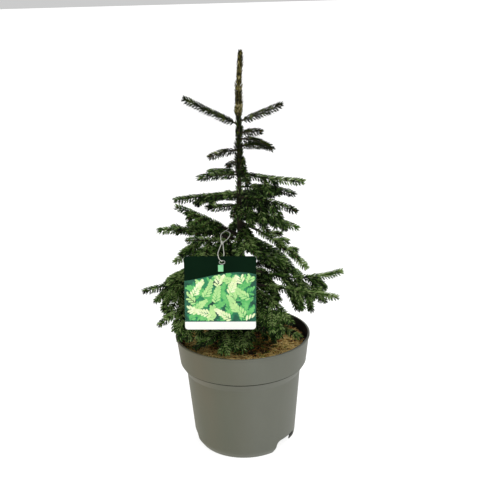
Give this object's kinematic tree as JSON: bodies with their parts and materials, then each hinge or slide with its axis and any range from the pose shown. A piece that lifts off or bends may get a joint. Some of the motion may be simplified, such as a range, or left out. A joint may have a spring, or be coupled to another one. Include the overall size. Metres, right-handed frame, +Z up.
{
  "type": "potted aureospicata oriental spruce",
  "caption": "Young oriental spruce in a tapered nursery pot filled with bark compost: needled boughs in whorls, an upright leader and a label hung on a string.",
  "frame": {"origin": "centre of the pot's flat underside, on the ground plane", "axes": "+Z up along the trunk, -Y towards the viewer and the label's face, +X to the viewer's right"},
  "size_m": [0.2808, 0.2136, 0.553],
  "materials": {
    "pot_plastic": "moulded, satin, slightly scuffed",
    "potting_mix": "loose bark and peat crumbs with moss",
    "bark": "rough, scaly young bark",
    "needles": "waxy green needles",
    "label_card": "printed plastic card, satin",
    "string": "soft white twine"
  },
  "bodies": {
    "root": {"pot": "pot_plastic", "soil": "potting_mix", "trunk": "bark", "foliage_leader": "needles", "foliage_top_left": "needles", "foliage_top_right": "needles", "foliage_second_right": "needles", "foliage_second_front_right": "needles", "foliage_second_left": "needles", "foliage_second_front": "needles", "foliage_third_left": "needles", "foliage_third_right": "needles", "foliage_third_front": "needles", "foliage_fourth_left": "needles", "foliage_fourth_right": "needles", "foliage_fourth_front_right": "needles", "foliage_fourth_front": "needles", "foliage_fourth_left_front": "needles", "foliage_low_front": "needles", "foliage_low_front_left": "needles", "foliage_foot_front_right": "needles", "foliage_foot_front": "needles", "bough_fifth_left": "bark", "foliage_fifth_left": "needles", "bough_fifth_left_front": "bark", "foliage_fifth_left_front": "needles", "foliage_fifth_front_left": "needles", "foliage_fifth_right": "needles", "bough_fifth_front_right": "bark", "foliage_fifth_front_right": "needles", "foliage_fifth_front": "needles", "foliage_fifth_left_low": "needles", "bough_low_left_front": "bark", "foliage_low_left_front": "needles", "bough_low_left": "bark", "foliage_low_left": "needles", "bough_low_left_foot": "bark", "foliage_low_left_foot": "needles", "bough_low_right": "bark", "foliage_low_right": "needles", "bough_low_right_front": "bark", "foliage_low_right_front": "needles", "bough_low_right_foot": "bark", "foliage_low_right_foot": "needles", "foliage_top_back": "needles", "foliage_second_back_right": "needles", "foliage_second_back": "needles", "foliage_third_left_back": "needles", "foliage_third_back": "needles", "foliage_fourth_back_left": "needles", "foliage_fourth_back": "needles", "foliage_fifth_back_right": "needles", "foliage_fifth_back": "needles", "foliage_fifth_back_left": "needles", "bough_low_back_right": "bark", "foliage_low_back_right": "needles", "foliage_low_back": "needles", "foliage_low_back_left": "needles", "label": "label_card", "label_string": "string"}
  },
  "joints": []
}
